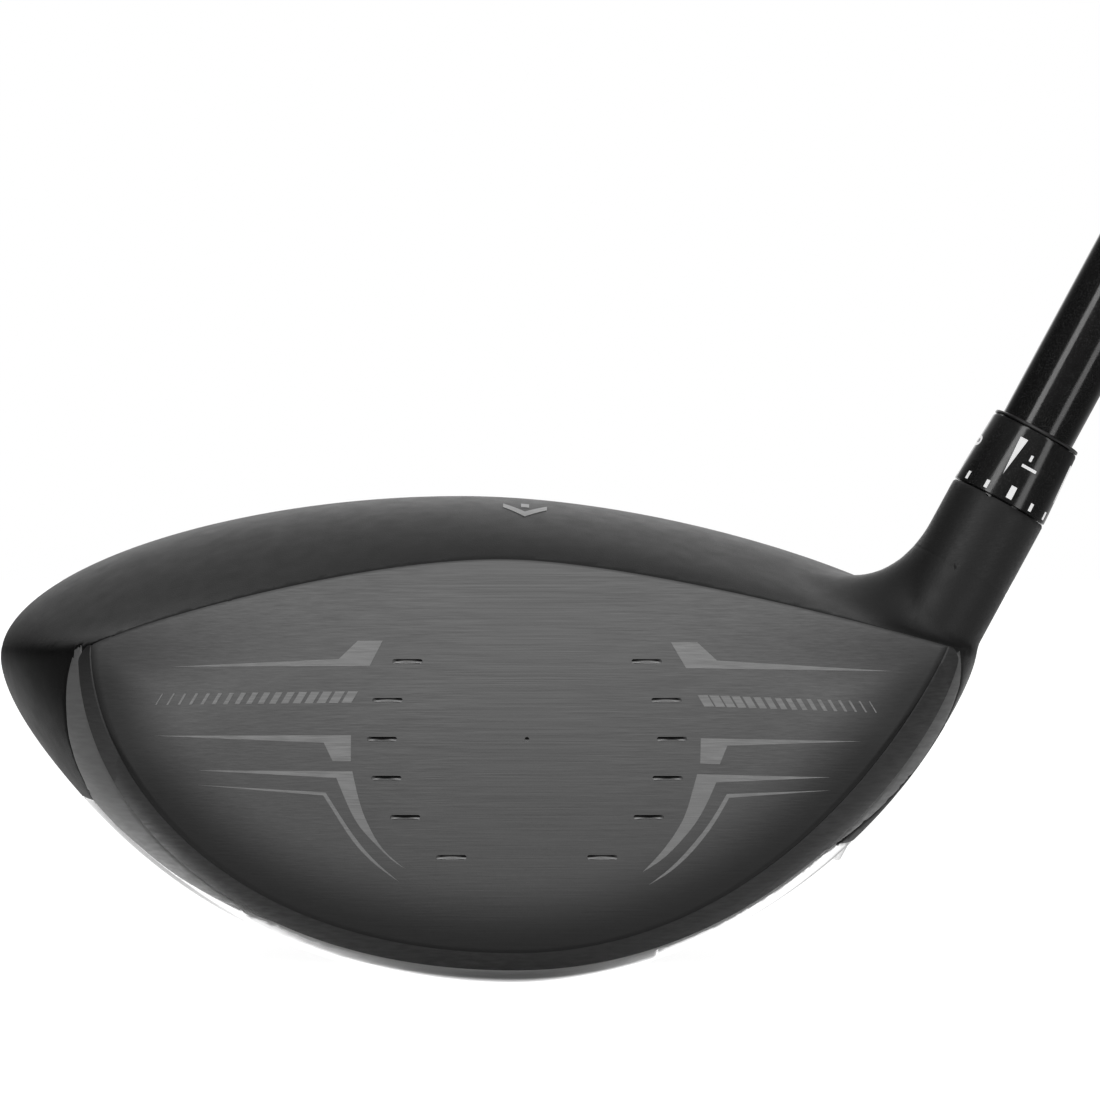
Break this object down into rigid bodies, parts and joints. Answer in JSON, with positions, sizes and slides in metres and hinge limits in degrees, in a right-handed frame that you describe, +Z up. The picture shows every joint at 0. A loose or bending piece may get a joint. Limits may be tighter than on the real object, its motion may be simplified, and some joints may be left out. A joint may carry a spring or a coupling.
{
  "type": "golf driver",
  "caption": "Right-handed adjustable golf driver: hollow rounded head with brushed dark face, indexed hosel sleeve, tapered tubular shaft, rubber grip and screw-fixed rear weight.",
  "frame": {"origin": "centre of the sole's small flat, on the ground, in line with the face centre, with the club standing at address", "axes": "+X from toe to heel, +Y from the face to the back of the head, +Z up"},
  "size_m": [0.6615, 0.1143, 1.0148],
  "materials": {
    "body_black": "matt black coating over cast titanium",
    "face_dark": "fine horizontal brushing, dark ion-plated titanium",
    "crown_black": "matt black paint over carbon composite",
    "panel_grey": "satin grey coating",
    "sole_bright": "bright brushed metal",
    "weight_steel": "turned stainless steel",
    "screw_steel": "machined steel",
    "sleeve_black": "glossy black anodised",
    "trim_bright": "bright turned edge",
    "ring_brass": "machined brass",
    "shaft_black": "glossy black paint over carbon composite",
    "plug_pale": "plain moulded",
    "tape_cream": "paper-backed adhesive tape",
    "grip_rubber": "textured black rubber",
    "gasket_rubber": "plain black rubber"
  },
  "bodies": {
    "head": {"head_body": "body_black", "face_cup": "face_dark", "crown_plate": "crown_black", "toe_sole_panel": "panel_grey", "heel_sole_panel": "panel_grey", "front_sole_plate": "sole_bright", "rear_thread_bush": "screw_steel", "hosel_spline_ring": "ring_brass", "screw_retaining_clip": "screw_steel", "screw_seat_washer": "screw_steel"},
    "index_washer": {"sleeve_end_washer": "ring_brass"},
    "shaft_assembly": {"adapter_sleeve": "sleeve_black", "sleeve_trim_ring": "trim_bright", "sleeve_thread_insert": "screw_steel", "shaft": "shaft_black", "shaft_tip_plug": "plug_pale", "grip_tape": "tape_cream", "grip": "grip_rubber", "grip_cap": "grip_rubber"},
    "hosel_screw": {"hosel_screw": "screw_steel"},
    "rear_weight": {"rear_weight": "weight_steel", "rear_weight_gasket": "gasket_rubber"},
    "rear_weight_screw": {"rear_weight_screw": "screw_steel"}
  },
  "joints": [
    {"name": "loft_index", "type": "hinge", "parent": "head", "child": "index_washer", "pos_m": [0.0637, -0.006, 0.0644], "axis": [0.4772, 0, 0.8788], "continuous": true},
    {"name": "sleeve_lift", "type": "slide", "parent": "index_washer", "child": "shaft_assembly", "axis": [0.4772, 0, 0.8788], "range_m": [0, 0.008]},
    {"name": "hosel_screw_turn", "type": "hinge", "parent": "head", "child": "hosel_screw", "pos_m": [0.0637, -0.006, 0.0644], "axis": [0.4772, 0, 0.8788], "range_deg": [-3601, 1]},
    {"name": "rear_weight_lift", "type": "slide", "parent": "head", "child": "rear_weight", "axis": [0, 0.2906, -0.9569], "range_m": [0, 0.008]},
    {"name": "rear_weight_screw_turn", "type": "hinge", "parent": "rear_weight", "child": "rear_weight_screw", "pos_m": [-0.00642, 0.068, 0.01052], "axis": [0, 0.2906, -0.9569], "range_deg": [-1, 3601]}
  ],
  "couplings": [
    {"joint": "hosel_screw_turn", "follows": "sleeve_lift", "rad_per_m": -7854},
    {"joint": "rear_weight_screw_turn", "follows": "rear_weight_lift", "rad_per_m": 7854}
  ]
}
